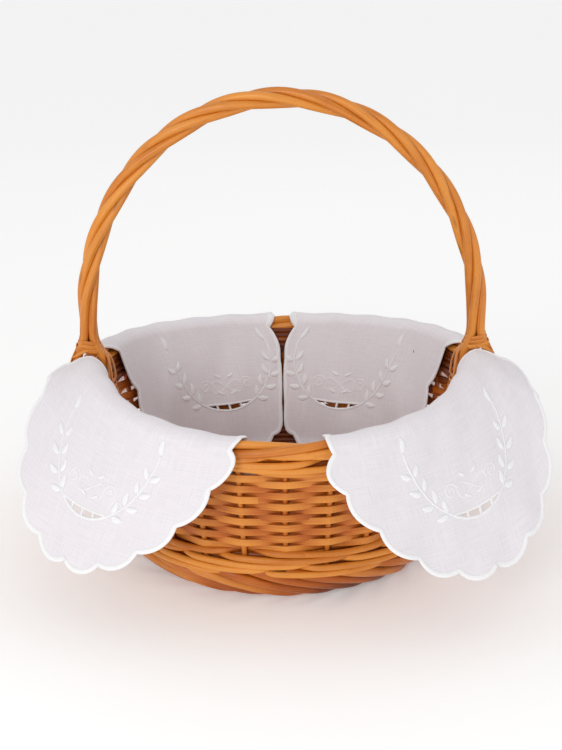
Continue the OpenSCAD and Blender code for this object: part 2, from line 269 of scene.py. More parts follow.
def willow_material(name, brightness, gloss, streaks=9.0, wall_shade=0.0):
    """Varnished willow: fibres run along the rod, each rod has its own tone, and knots show now and
    then. The last argument sets the strength of the painted shade: the willow is painted darker towards the
    inside of the wall and lighter on its outside."""
    colours, w = settings().finish, settings().willow
    n = Nodes(name)
    along = n.attribute("along").outputs["Fac"]
    around = n.attribute("around").outputs["Fac"]
    tone = n.attribute("tone").outputs["Fac"]
    place = n.put("ShaderNodeTexCoord").outputs["Object"]
    turn = n.maths("MULTIPLY", around, TAU)
    fibre_at = n.vector(
        n.maths("MULTIPLY", along, 22.0),
        n.maths("ADD", n.maths("MULTIPLY", n.maths("COSINE", turn), streaks / TAU),
                n.maths("MULTIPLY", tone, 57.0)),
        n.maths("MULTIPLY", n.maths("SINE", turn), streaks / TAU))
    fibres = n.noise(fibre_at, 1.6, 6.0, 0.65)
    patches = n.noise(place, 38.0, 2.0, 0.5)
    flecks = n.noise(place, 900.0, 2.0, 0.6)
    value = n.maths("ADD", n.maths("MULTIPLY", fibres, 0.62), n.maths("MULTIPLY", patches, 0.34))
    value = n.maths("ADD", value, n.maths("MULTIPLY", tone, 0.42))
    value = n.maths("ADD", value, brightness - 0.68)
    # Painted shade: darker towards the inside of the wall and lighter on its outside, by the distance from
    # the wall's middle
    if wall_shade:
        split = n.put("ShaderNodeSeparateXYZ", i0=place)
        flat = n.vector(split.outputs[0], split.outputs[1], 0.0)
        radius = n.put("ShaderNodeVectorMath", {"operation": "LENGTH"}, i0=flat).outputs["Value"]
        slope = (w.rim_radius - w.waist_radius) / (shape()["border_level"] - w.waist_height)
        wall = n.maths("MULTIPLY_ADD", split.outputs[2], slope, w.waist_radius - slope * w.waist_height)
        light_and_shade_mask = n.maths("MULTIPLY", n.maths("SUBTRACT", radius, wall), 1 / WALL_SHADE_DEPTH)
        light_and_shade_mask = n.maths("MINIMUM", n.maths("MAXIMUM", light_and_shade_mask, -1.6), 0.9)
        value = n.maths("ADD", value, n.maths("MULTIPLY", light_and_shade_mask, wall_shade))
    colour = n.ramp(value, [
        (0.05, tuple(colours.willow_deep_and_shade)),
        (0.42, tuple(colours.willow_mid)),
        (0.66, tuple(c * 0.62 + d * 0.38 for c, d in zip(colours.willow_light, colours.willow_mid))),
        (0.95, tuple(colours.willow_light))])
    knots = n.put("ShaderNodeTexVoronoi", {"feature": "F1"}, Scale=1.0, Vector=n.vector(
        n.maths("MULTIPLY", along, 26.0), n.maths("MULTIPLY", around, 2.2),
        n.maths("MULTIPLY", tone, 91.0))).outputs["Distance"]
    knot = n.ramp(knots, [(0.0, (1.0, 1.0, 1.0)), (0.10, (0.55, 0.55, 0.55)), (0.16, (0.0, 0.0, 0.0))])
    colour = n.mix(n.maths("MULTIPLY", knot, 0.55), colour, (0.16, 0.050, 0.012, 1.0))
    colour = n.mix(n.maths("MULTIPLY", flecks, 0.30), colour, (0.62, 0.30, 0.09, 1.0), "MULTIPLY")
    height = n.maths("ADD", n.maths("MULTIPLY", fibres, 0.75), n.maths("MULTIPLY", flecks, 0.14))
    normal = n.bump(height, 0.0006, 0.55)
    return n.finish(
        Base_Color=colour, Normal=normal,
        Roughness=n.maths("ADD", n.maths("MULTIPLY", fibres, 0.22), 0.42 - gloss),
        Specular_IOR_Level=0.35, Coat_Weight=0.16, Coat_Roughness=0.24)


def linen_material():
    """Plain-woven linen: over and under threads of uneven thickness, a little fuzz."""
    colours = settings().finish
    n = Nodes("Linen_plain_weave")
    place = n.attribute("cloth_at").outputs["Vector"]
    split = n.put("ShaderNodeSeparateXYZ", i0=place)
    wobble = n.maths("MULTIPLY", n.noise(place, 90.0, 2.0), 0.9)
    threads = TAU / 0.00096
    warp = n.maths("SINE", n.maths("ADD", n.maths("MULTIPLY", split.outputs[0], threads), wobble))
    weft = n.maths("SINE", n.maths("ADD", n.maths("MULTIPLY", split.outputs[1], threads), wobble))
    over = n.maths("MULTIPLY", warp, weft)
    slub_x = n.noise(n.vector(n.maths("MULTIPLY", split.outputs[0], 1600.0),
                              n.maths("MULTIPLY", split.outputs[1], 60.0), 0.0), 1.0, 2.0)
    slub_y = n.noise(n.vector(n.maths("MULTIPLY", split.outputs[0], 60.0),
                              n.maths("MULTIPLY", split.outputs[1], 1600.0), 4.0), 1.0, 2.0)
    slubs = n.maths("ADD", slub_x, slub_y)
    fuzz = n.noise(place, 2600.0, 3.0, 0.7)
    shade = n.maths("ADD", n.maths("MULTIPLY", over, 0.20), n.maths("MULTIPLY", slubs, 0.34))
    shade = n.maths("ADD", shade, n.maths("MULTIPLY", fuzz, 0.35))
    ground = tuple(colours.linen)
    colour = n.ramp(n.maths("SUBTRACT", shade, 0.02), [
        (0.20, tuple(c * f for c, f in zip(ground, (0.76, 0.75, 0.79)))),
        (0.48, ground),
        (0.80, tuple(min(0.93, c * 1.07) for c in ground))])
    clouds = n.noise(n.put("ShaderNodeTexCoord").outputs["Object"], 22.0, 2.0)
    colour = n.mix(n.maths("MULTIPLY", clouds, 0.12), colour, (0.93, 0.88, 0.97, 1.0), "MULTIPLY")
    height = n.maths("ADD", n.maths("MULTIPLY", over, 0.30), n.maths("MULTIPLY", slubs, 0.35))
    normal = n.bump(n.maths("ADD", height, n.maths("MULTIPLY", fuzz, 0.25)), 0.00030, 0.60)
    return n.finish(
        Base_Color=colour, Normal=normal, Roughness=0.92, Specular_IOR_Level=0.22,
        Sheen_Weight=0.18, Sheen_Roughness=0.45)


def thread_material():
    """Satin-stitched cotton: fine ridges across each shape and a soft lustre."""
    colours = settings().finish
    n = Nodes("Thread_satin_stitch")
    along = n.attribute("along").outputs["Fac"]
    around = n.attribute("around").outputs["Fac"]
    place = n.put("ShaderNodeTexCoord").outputs["Object"]
    sway = n.maths("MULTIPLY", n.noise(place, 420.0, 2.0), 2.4)
    ridge = n.maths("SINE", n.maths("ADD", n.maths("MULTIPLY", along, TAU / 0.00055), sway))
    twist = n.noise(n.vector(n.maths("MULTIPLY", along, 2200.0), n.maths("MULTIPLY", around, 14.0), 0.0),
                    1.0, 2.0)
    shade = n.maths("ADD", n.maths("MULTIPLY", ridge, 0.30), n.maths("MULTIPLY", twist, 0.6))
    base = tuple(colours.thread)
    colour = n.ramp(n.maths("ADD", shade, 0.10), [
        (0.08, tuple(c * f for c, f in zip(base, (0.84, 0.83, 0.86)))),
        (0.50, base),
        (0.90, (0.96, 0.96, 0.96))])
    normal = n.bump(n.maths("ADD", n.maths("MULTIPLY", ridge, 0.5), twist), 0.00018, 0.55)
    return n.finish(
        Base_Color=colour, Normal=normal, Roughness=0.62, Specular_IOR_Level=0.35,
        Sheen_Weight=0.15, Sheen_Roughness=0.4)


# ---- sweeping willow along its paths ----------------------------------------


def path_tree(upright):
    """Sweeps each chain of edges into a rod; upright keeps a flat weaver's width vertical."""
    name = "Willow_flat_along_path" if upright else "Willow_round_along_path"
    tree = bpy.data.node_groups.get(name)
    if tree:
        return tree
    tree = bpy.data.node_groups.new(name, "GeometryNodeTree")
    face = tree.interface
    face.new_socket("Geometry", in_out="INPUT", socket_type="NodeSocketGeometry")
    face.new_socket("Thickness", in_out="INPUT", socket_type="NodeSocketFloat")
    face.new_socket("Width", in_out="INPUT", socket_type="NodeSocketFloat")
    face.new_socket("Sides", in_out="INPUT", socket_type="NodeSocketInt")
    face.new_socket("Material", in_out="INPUT", socket_type="NodeSocketMaterial")
    face.new_socket("Geometry", in_out="OUTPUT", socket_type="NodeSocketGeometry")
    new, link = tree.nodes.new, tree.links.new
    inputs, output = new("NodeGroupInput"), new("NodeGroupOutput")

    curve = new("GeometryNodeMeshToCurve")
    link(inputs.outputs["Geometry"], curve.inputs[0])
    normals = new("GeometryNodeSetCurveNormal")
    normals.mode = "Z_UP" if upright else "MINIMUM_TWIST"
    link(curve.outputs[0], normals.inputs[0])
    girth = new("GeometryNodeInputNamedAttribute")
    girth.inputs["Name"].default_value = "girth"
    radius = new("GeometryNodeSetCurveRadius")
    link(normals.outputs[0], radius.inputs["Curve"])
    link(girth.outputs["Attribute"], radius.inputs["Radius"])

    measure = new("GeometryNodeSplineParameter")
    along = new("GeometryNodeStoreNamedAttribute")
    along.inputs["Name"].default_value = "along"
    link(radius.outputs[0], along.inputs["Geometry"])
    link(measure.outputs["Length"], along.inputs["Value"])

    ring = new("GeometryNodeCurvePrimitiveCircle")
    ring.inputs["Radius"].default_value = 0.5
    link(inputs.outputs["Sides"], ring.inputs["Resolution"])
    if upright:
        squared = new("GeometryNodeSetPosition")
        place = new("GeometryNodeInputPosition")
        outwards = new("ShaderNodeVectorMath")
        outwards.operation = "MULTIPLY_ADD"
        outwards.inputs[1].default_value = (1.75, 1.75, 0.0)
        link(place.outputs[0], outwards.inputs[0])
        least, most = new("ShaderNodeVectorMath"), new("ShaderNodeVectorMath")
        least.operation, most.operation = "MAXIMUM", "MINIMUM"
        least.inputs[1].default_value = (-0.5, -0.5, 0.0)
        most.inputs[1].default_value = (0.5, 0.5, 0.0)
        link(outwards.outputs[0], least.inputs[0])
        link(least.outputs[0], most.inputs[0])
        link(ring.outputs[0], squared.inputs["Geometry"])
        link(most.outputs[0], squared.inputs["Position"])
        ring = squared
    turn = new("GeometryNodeStoreNamedAttribute")
    turn.inputs["Name"].default_value = "around"
    link(ring.outputs[0], turn.inputs["Geometry"])
    link(measure.outputs["Factor"], turn.inputs["Value"])
    size = new("ShaderNodeCombineXYZ")
    link(inputs.outputs["Thickness"], size.inputs[0])
    link(inputs.outputs["Width"], size.inputs[1])
    size.inputs[2].default_value = 1.0
    shape = new("GeometryNodeTransform")
    link(turn.outputs[0], shape.inputs["Geometry"])
    link(size.outputs[0], shape.inputs["Scale"])

    sweep = new("GeometryNodeCurveToMesh")
    sweep.inputs["Fill Caps"].default_value = True
    link(along.outputs[0], sweep.inputs["Curve"])
    link(shape.outputs[0], sweep.inputs["Profile Curve"])
    smooth = new("GeometryNodeSetShadeSmooth")
    smooth.inputs["Shade Smooth"].default_value = not upright
    link(sweep.outputs[0], smooth.inputs[0])
    real = new("GeometryNodeRealizeInstances")
    link(smooth.outputs[0], real.inputs[0])
    paint = new("GeometryNodeSetMaterial")
    link(real.outputs[0], paint.inputs["Geometry"])
    link(inputs.outputs["Material"], paint.inputs["Material"])
    link(paint.outputs[0], output.inputs[0])
    return tree


def rod(points, tone, girth=1.0, closed=False):
    """One rod: its path, its tone from 0, dark, to 1, pale, and its girth along the path."""
    points = np.asarray(points, dtype=float)
    return {"points": points, "tone": tone, "closed": closed,
            "girth": np.broadcast_to(np.asarray(girth, dtype=float), len(points))}


def swept(name, rods, thickness, width, sides, material, upright=False):
    """Every rod swept with Geometry Nodes and baked to one plain mesh."""
    vertices, edges, tones, girths = [], [], [], []
    for r in rods:
        first, count = len(vertices), len(r["points"])
        vertices.extend(map(tuple, r["points"]))
        edges.extend((first + i, first + i + 1) for i in range(count - 1))
        if r["closed"]:
            edges.append((first + count - 1, first))
        tones.extend([r["tone"]] * count)
        girths.extend(r["girth"])
    mesh = bpy.data.meshes.new(name)
    mesh.from_pydata(vertices, edges, [])
    mesh.attributes.new("tone", "FLOAT", "POINT").data.foreach_set("value", tones)
    mesh.attributes.new("girth", "FLOAT", "POINT").data.foreach_set("value", girths)
    obj = bpy.data.objects.new(name, mesh)
    bpy.context.scene.collection.objects.link(obj)
    tree = path_tree(upright)
    modifier = obj.modifiers.new("Willow", "NODES")
    modifier.node_group = tree
    values = {"Thickness": thickness, "Width": width, "Sides": sides, "Material": material}
    for item in tree.interface.items_tree:
        if item.item_type == "SOCKET" and item.in_out == "INPUT" and item.name in values:
            modifier[item.identifier] = values[item.name]
    return baked(obj)


def baked(obj):
    """The object with its modifiers turned into a plain mesh."""
    obj.update_tag()
    bpy.context.view_layer.update()
    graph = bpy.context.evaluated_depsgraph_get()
    mesh = bpy.data.meshes.new_from_object(obj.evaluated_get(graph))
    if not mesh.polygons:
        raise RuntimeError(f"{obj.name} came out empty")
    obj.modifiers.clear()
    obj.data = mesh
    return obj


def basket_piece(obj, slot, *nodes):
    """The piece belongs to the basket's body and stands for these nodes."""
    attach(obj, "basket")
    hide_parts(*nodes)


# ---- the shape of the basket -----------------------------------------------


# How far the border's rods stand off the middle of the roll, and the height of rod over that
ROLL, OVER_ROLL = 0.00302, 0.00255
# From the border down to the top row
UPPER_BAND = 0.0187
# How far, and over what height, the wall rounds in below the waist
ROUND_IN, ROUND_HEIGHT = 0.0162, 0.032
# A weaver's bend at each stake: sharper as this nears 1
BEND = 0.985


def shape():
    """Levels and steps worked out from the driving sizes."""
    w = settings().willow
    border_level = w.body_height - ROLL - OVER_ROLL
    row_top = border_level - UPPER_BAND
    row_bottom = row_top - (len(ROWS) - 1) * w.row_pitch
    return {"border_level": border_level, "row_top": row_top, "row_bottom": row_bottom,
            "pitch": TAU / w.stakes, "side_top": w.body_height + w.saddle}


def lift(angle, level):
    """How far the saddle raises a place on the wall."""
    w = settings().willow
    share = (level - w.waist_height) / (shape()["border_level"] - w.waist_height)
    return w.saddle * np.cos(angle) ** 2 * np.maximum(0, share) ** 1.5


def wall_radius(level):
    """Radius of the middle of the wall."""
    w = settings().willow
    level = np.asarray(level, dtype=float)
    share = (level - w.waist_height) / (shape()["border_level"] - w.waist_height)
    round_in = np.clip((w.waist_height - level) / ROUND_HEIGHT, 0, 1)
    return np.where(level >= w.waist_height, w.waist_radius + (w.rim_radius - w.waist_radius) * share,
                    w.waist_radius - ROUND_IN * (1 - np.sqrt(1 - round_in ** 2)))


def at(angle, radius, level):
    """Points round the wall, raised by the saddle."""
    angle, radius, level = np.broadcast_arrays(angle, radius, level)
    return np.column_stack([radius * np.cos(angle), radius * np.sin(angle), level + lift(angle, level)])


def wander(random, angle, size, waves=(1, 2, 3, 5)):
    """A slow, smooth unevenness round the basket, as hand work has."""
    total = np.zeros_like(angle)
    for count in waves:
        total += np.sin(count * angle + random.uniform(0, TAU)) * random.uniform(0.3, 1.0)
    return total * size / len(waves) * 1.6


def bend_round(phase):
    """From -1 to 1 as a weaver goes in and out: sharp at each stake, straight between."""
    return np.arcsin(BEND * np.cos(phase)) / np.arcsin(BEND)


def tapered(count, share=0.08, tip=0.45):
    """Girth that thins at both ends of a rod."""
    place = np.linspace(0, 1, count)
    end = np.minimum(place, 1 - place) / share
    return tip + (1 - tip) * np.clip(end, 0, 1) ** 0.7


class BASKET_OT_base(Operator):
    """Weaves the base: sticks through a slath, with rods twisted over and under them"""

    bl_idname = "basket.base"
    bl_label = "Weave the base"

    def execute(self, context):
        random = np.random.default_rng(3)
        level, rods = 0.010, []
        for i in range(16):
            angle = i * TAU / 16 + TAU / 32
            radii = np.linspace(0.004, 0.088, 18)
            points = np.column_stack([radii * np.cos(angle), radii * np.sin(angle),
                                      level + 0.0005 * np.sin(radii * 400 + i)])
            rods.append(rod(points, random.uniform(0.2, 0.7), 1.0))
        angle = np.linspace(0, TAU, 160, endpoint=False)
        for i in range(24):
            radius = 0.0135 + i * 0.00305
            for side in (-1, 1):
                wave = bend_round(angle * 8 + i * np.pi + (side > 0) * np.pi)
                points = np.column_stack([
                    radius * np.cos(angle), radius * np.sin(angle),
                    level + 0.0026 * wave + wander(random, angle, 0.0002)])
                rods.append(rod(points, random.uniform(0.1, 0.8), 0.84, closed=True))
        material = willow_material("Willow_base", 0.40, 0.02)
        obj = swept("Willow_base", rods, 0.0031, 0.0031, 8, material)
        basket_piece(obj, "stake_willow", "base_slath", "base_sticks", "base_weave_upper",
                     "base_weave_lower")
        return {"FINISHED"}


class BASKET_OT_foot(Operator):
    """Rolls the foot border: each stake's end sweeps down and round under its neighbours"""

    bl_idname = "basket.foot"
    bl_label = "Roll the foot border"

    def execute(self, context):
        w, s = settings().willow, shape()
        random = np.random.default_rng(8)
        places = np.array([[0.1120, 0.0262], [0.1138, 0.0215], [0.1085, 0.0150], [0.1025, 0.0086],
                           [0.0955, 0.0033], [0.0900, 0.0036], [0.0868, 0.0060]])
        share = np.linspace(0, 1, 36)
        along = share * (len(places) - 1)
        radius = np.interp(along, range(len(places)), places[:, 0])
        level = np.interp(along, range(len(places)), places[:, 1])
        smooth = np.ones(5) / 5
        radius[2:-2] = np.convolve(radius, smooth, "valid")
        level[2:-2] = np.convolve(level, smooth, "valid")
        rods = []
        for k in range(w.stakes):
            angle = (k + share * 4.6) * s["pitch"] + random.uniform(-0.02, 0.02)
            girth = tapered(36, 0.10, 0.62) * random.uniform(0.90, 1.02)
            low = np.maximum(level + random.uniform(-0.0004, 0.0004), w.foot / 2 * girth + 0.00005)
            rods.append(rod(at(angle, radius + random.uniform(-0.0006, 0.0006), low),
                            random.uniform(0.15, 0.85), girth))
        # Last argument: strength of the painted shade inside the wall and painted light outside
        material = willow_material("Willow_foot", 0.44, 0.08, wall_shade=0.10)
        obj = swept("Willow_foot_border", rods, w.foot, w.foot, 12, material)
        basket_piece(obj, "rod_willow", "foot_rod_1", "foot_rod_2", "foot_rod_3", "foot_rod_4")
        return {"FINISHED"}


class BASKET_OT_stakes(Operator):
    """Stands the stakes in the base and brings them up to the border"""

    bl_idname = "basket.stakes"
    bl_label = "Stand the stakes"

    def execute(self, context):
        w, s = settings().willow, shape()
        random = np.random.default_rng(5)
        levels = np.array([0.031, 0.040, 0.055, 0.070, 0.085, 0.100, s["border_level"] - 0.001])
        low = np.array([[0.084, 0.0105], [0.091, 0.0115], [0.097, 0.0135], [0.104, 0.0185],
                        [0.1092, 0.024]])
        radii = np.concatenate([low[:, 0], wall_radius(levels)])
        heights = np.concatenate([low[:, 1], levels])
        fine = np.linspace(0, len(radii) - 1, 44)
        radii = np.interp(fine, range(len(radii)), radii)
        heights = np.interp(fine, range(len(heights)), heights)
        rods = []
        for k in range(w.stakes):
            lean = random.uniform(-0.0035, 0.0035)
            angle = k * s["pitch"] + lean * (heights - 0.02) / 0.1
            rods.append(rod(at(angle, radii, heights), random.uniform(0.25, 0.75),
                            random.uniform(0.94, 1.04)))
        # Last argument: strength of the painted shade inside the wall and painted light outside
        material = willow_material("Willow_stakes", 0.46, 0.06, wall_shade=0.22)
        obj = swept("Willow_stakes", rods, w.stake, w.stake, 12, material)
        basket_piece(obj, "stake_willow", "side_stakes")
        return {"FINISHED"}


def waling_rods(random, levels):
    """Rods that pass outside three stakes and inside the fourth, each starting one stake on."""
    w, s = settings().willow, shape()
    step = (w.stake + w.waling) / 2
    rods = []
    for shift, level in enumerate(levels):
        start = shift * 2
        for piece in range(4):
            stakes = w.stakes / 4 + 0.9
            phase = np.linspace(0, stakes, int(stakes * 11)) + start + piece * w.stakes / 4
            angle = phase * s["pitch"]
            inside = np.maximum(0, np.cos((phase + shift) * TAU / 4)) ** 3
            wave = 1 - 2 * inside
            rise = 0.0009 * np.sin((phase + shift) * TAU / 4 + 0.9)
            height = level + rise + wander(random, angle, 0.00035)
            radius = wall_radius(height) + step * wave
            radius[:6] -= np.linspace(0.0024, 0, 6)
            radius[-6:] -= np.linspace(0, 0.0024, 6)
            rods.append(rod(at(angle, radius, height), random.uniform(0.2, 0.95),
                            tapered(len(angle), 0.06, 0.6) * random.uniform(0.92, 1.05)))
    return rods


class BASKET_OT_waling(Operator):
    """Wales the side above the foot and below the border"""

    bl_idname = "basket.waling"
    bl_label = "Wale top and bottom"

    @staticmethod
    def inner(levels):
        """Dark rods against the inside of the stakes, between the woven ones, put there so the gaps in the
        weave show painted shade.
        """
        angle = np.linspace(0, TAU, 240, endpoint=False)
        # A fixed dark tone: these rods stand in for the shade behind the weave
        return [rod(at(angle, wall_radius(level) - 0.0037, np.full_like(angle, level)), 0.2, 0.92,
                    closed=True) for level in levels]

    def execute(self, context):
        w, s = settings().willow, shape()
        random = np.random.default_rng(12)
        # Last argument: strength of the painted shade inside the wall and painted light outside
        material = willow_material("Willow_waling", 0.46, 0.10, wall_shade=0.24)
        upper = [s["row_top"] + 0.0038 + i * 0.0036 for i in range(4)]
        lower = [s["row_bottom"] - 0.0036 - i * 0.0036 for i in range(5)]
        # The dark inner rods fill the gaps of the weave with painted shade
        inner = self.inner(upper)
        obj = swept("Willow_upper_waling", waling_rods(random, upper) + inner, w.waling, w.waling, 12,
                    material)
        basket_piece(obj, "rod_willow", "upper_wale_1", "upper_wale_2", "upper_wale_3")
        # The dark inner rods fill the gaps of the weave with painted shade
        inner = self.inner([s["row_bottom"] - 0.0018] + lower)
        obj = swept("Willow_lower_waling", waling_rods(random, lower) + inner, w.waling, w.waling, 12,
                    material)
        basket_piece(obj, "rod_willow", "lower_wale_1", "lower_wale_2", "lower_wale_3",
                     "lower_wale_4")
        return {"FINISHED"}


class BASKET_OT_randing(Operator):
    """Weaves the rows of flat split willow in and out of the stakes"""

    bl_idname = "basket.randing"
    bl_label = "Weave the side"

    def execute(self, context):
        w, s = settings().willow, shape()
        random = np.random.default_rng(21)
        step = (w.stake + w.split) / 2 + 0.0001
        rods = []
        for row in range(len(ROWS)):
            level = s["row_top"] - row * w.row_pitch
            start = random.integers(0, w.stakes // 2) * 2 + row + 1
            pieces = 4
            for piece in range(pieces):
                stakes = w.stakes / pieces + 0.8
                phase = np.linspace(0, stakes, int(stakes * 12)) + start + piece * w.stakes / pieces
                angle = phase * s["pitch"]
                wave = bend_round((phase + row) * np.pi)
                height = level + wander(random, angle, 0.00035) + 0.00025 * wave
                radius = wall_radius(height) + step * wave
                radius[:6] -= np.linspace(0.0016, 0, 6)
                radius[-6:] -= np.linspace(0, 0.0016, 6)
                girth = random.uniform(0.90, 1.03) + wander(random, angle, 0.05, (4, 7, 11))
                rods.append(rod(at(angle, radius, height), random.uniform(0.1, 1.0), girth))
        # Last argument: strength of the painted shade inside the wall and painted light outside
        material = willow_material("Willow_splits", 0.47, 0.04, streaks=14.0, wall_shade=0.26)
        obj = swept("Willow_randing", rods, w.split, w.split_width, 12, material, upright=True)
        basket_piece(obj, "split_willow", *ROWS)
        return {"FINISHED"}


class BASKET_OT_rim(Operator):
    """Rolls three rods round each other to close the rim"""

    bl_idname = "basket.rim"
    bl_label = "Roll the rim border"

    def execute(self, context):
        w, s = settings().willow, shape()
        random = np.random.default_rng(31)
        rods = []
        for i in range(3):
            for piece in range(4):
                share = TAU / 4
                angle = np.linspace(-0.10, share + 0.10, 120) + piece * share + i * 0.6
                turn = 5 * angle + i * TAU / 3
                fade = np.clip(np.minimum(angle - angle[0], angle[-1] - angle) / 0.10, 0, 1)
                roll = ROLL * (0.80 + 0.20 * fade)
                radius = w.rim_radius + roll * np.cos(turn)
                level = s["border_level"] + roll * np.sin(turn) + wander(random, angle, 0.0003)
                girth = (0.72 + 0.28 * fade) * (1 + wander(random, angle, 0.035, (5, 8, 13)))
                rods.append(rod(at(angle, radius, level), random.uniform(0.35, 1.0), girth))
        angle = np.linspace(0, TAU, 240, endpoint=False)
        core = at(angle, w.rim_radius - 0.0030, s["border_level"] - 0.0052 + wander(random, angle, 0.0002))
        rods.append(rod(core, 0.10, 0.92, closed=True))
        material = willow_material("Willow_border", 0.60, 0.12)
        obj = swept("Willow_rim_border", rods, w.border, w.border, 16, material)
        basket_piece(obj, "rod_willow", "rim_border_1", "rim_border_2", "rim_border_3")
        return {"FINISHED"}


# ---- handle ----------------------------------------------------------------

# How far a rod stands off the bow's middle line, and off the border's at its foot
ROD_OFFSET = 0.00395
LEG_SPREAD = 0.0091
# How much the legs lean in with the wall below the rim
LEG_SLOPE = 0.193
# From the rim up to where the bow's half oval begins
SPRING_RISE = 0.040


def smoothed(points, rounds):
    """The same path with its corners eased."""
    points = points.copy()
    for _ in range(rounds):
        points[1:-1] = points[1:-1] * 0.5 + (points[:-2] + points[2:]) * 0.25
    return points


def resampled(points, step):
    """The same path with its points about step apart."""
    points = np.asarray(points, dtype=float)
    gaps = np.linalg.norm(np.diff(points, axis=0), axis=1)
    length = np.concatenate([[0], np.cumsum(gaps)])
    wanted = np.linspace(0, length[-1], max(3, int(length[-1] / step)))
    return np.column_stack([np.interp(wanted, length, points[:, i]) for i in range(points.shape[1])])


def leg_spread(level):
    """How far a leg stands off the border's middle: the rods come together above the rim."""
    top = shape()["side_top"]
    return np.interp(level, [top + 0.002, top + 0.013], [LEG_SPREAD, ROD_OFFSET * np.cos(np.pi / 4)])


def handle_path(i):
    """One of the four rods, from the left end over the bow to the right end."""
    h, s = settings().handle, shape()
    spring = settings().willow.body_height + SPRING_RISE
    rise = h.top - spring

    def leg(side, quarter, levels):
        out = 1 if quarter in (0, 3) else -1
        front = -1 if quarter < 2 else 1
        base = np.where(levels > s["border_level"], h.half_width,
                        h.half_width - LEG_SLOPE * (s["side_top"] - 0.002 - levels))
        return np.column_stack([side * (base + out * leg_spread(levels)),
                                np.full(len(levels), front * ROD_OFFSET * np.cos(np.pi / 4)), levels])

    right = (i + h.quarter_turns) % 4
    tops = np.linspace(s["side_top"] - 0.014, s["side_top"] + 0.022, 12)
    down = np.linspace(s["side_top"] - 0.058, s["side_top"] - 0.018, 10)

    def levels(quarter):
        return tops if quarter in (0, 3) else np.concatenate([down, tops])

    bow = np.radians(np.linspace(4, 176, 180))
    nx, nz = -np.cos(bow) / h.half_width, np.sin(bow) / rise
    size = np.hypot(nx, nz)
    turn = np.pi / 4 + np.pi / 2 * i + h.quarter_turns * bow / 2
    arch = np.column_stack([
        -h.half_width * np.cos(bow) + ROD_OFFSET * np.cos(turn) * nx / size,
        -ROD_OFFSET * np.sin(turn),
        spring + rise * np.sin(bow) + ROD_OFFSET * np.cos(turn) * nz / size])
    path = np.concatenate([leg(-1, i, levels(i)), arch, leg(1, right, levels(right))[::-1]])
    return smoothed(resampled(path, 0.0022), 6)


class BASKET_OT_handle(Operator):
    """Twists four rods into the bow and sets their ends inside and outside the border"""

    bl_idname = "basket.handle"
    bl_label = "Twist the handle"

    def execute(self, context):
        h = settings().handle
        random = np.random.default_rng(41)
        rods = []
        for i in range(4):
            points = handle_path(i)
            place = np.linspace(0, TAU, len(points))
            girth = 1 + wander(random, place, 0.06, (2, 3, 7)) - 0.06 * abs(place / TAU - 0.5)
            rods.append(rod(points, (0.75, 0.55, 0.95, 0.65)[i], girth))
        material = willow_material("Willow_handle", 0.58, 0.14)
        obj = swept("Willow_handle", rods, h.rod, h.rod, 18, material)
        basket_piece(obj, "handle_willow", "handle_rod_1", "handle_rod_2", "handle_rod_3",
                     "handle_rod_4")
        return {"FINISHED"}


def strip(points, outward, width, thickness):
    """A flat skein along a path, its width across the given outward directions."""
    points = np.asarray(points, dtype=float)
    along = np.gradient(points, axis=0)
    along /= np.linalg.norm(along, axis=1)[:, None]
    outward = np.broadcast_to(np.asarray(outward, dtype=float), points.shape)
    outward = outward - along * np.sum(outward * along, axis=1)[:, None]
    outward = outward / np.linalg.norm(outward, axis=1)[:, None]
    across = np.cross(along, outward)
    ends = tapered(len(points), 0.12, 0.35)[:, None]
    sides = 10
    turns = np.arange(sides) * TAU / sides
    return np.stack([points + across * (width / 2 * ends * np.cos(t))
                     + outward * (thickness / 2 * np.sin(t)) for t in turns], axis=1)


def strips_mesh(name, strips, tones, material):
    """All the skeins as one mesh of closed strips."""
    vertices, faces, along, around, tone = [], [], [], [], []
    for rings, shade in zip(strips, tones):
        first, (count, sides, _) = len(vertices), rings.shape
        vertices.extend(map(tuple, rings.reshape(-1, 3)))
        gaps = np.linalg.norm(np.diff(rings.mean(axis=1), axis=0), axis=1)
        along.extend(np.repeat(np.concatenate([[0], np.cumsum(gaps)]), sides))
        around.extend(np.tile(np.arange(sides) / sides, count))
        tone.extend([shade] * (count * sides))
        for i in range(count - 1):
            for j in range(sides):
                k = (j + 1) % sides
                faces.append((first + i * sides + j, first + (i + 1) * sides + j,
                              first + (i + 1) * sides + k, first + i * sides + k))
        faces.append([first + j for j in range(sides)])
        faces.append([first + (count - 1) * sides + j for j in range(sides - 1, -1, -1)])
    return plain_mesh(name, vertices, faces, material,
                      {"along": along, "around": around, "tone": tone})


def plain_mesh(name, vertices, faces, material, values, flip=False):
    """A smooth mesh object with its values kept as attributes of its points."""
    mesh = bpy.data.meshes.new(name)
    mesh.from_pydata(vertices, [], faces)
    for key, value in values.items():
        mesh.attributes.new(key, "FLOAT", "POINT").data.foreach_set("value", value)
    if flip:
        mesh.flip_normals()
    mesh.polygons.foreach_set("use_smooth", [True] * len(mesh.polygons))
    mesh.materials.append(material)
    mesh.validate()
    mesh.update()
    obj = bpy.data.objects.new(name, mesh)
    bpy.context.scene.collection.objects.link(obj)
    return obj


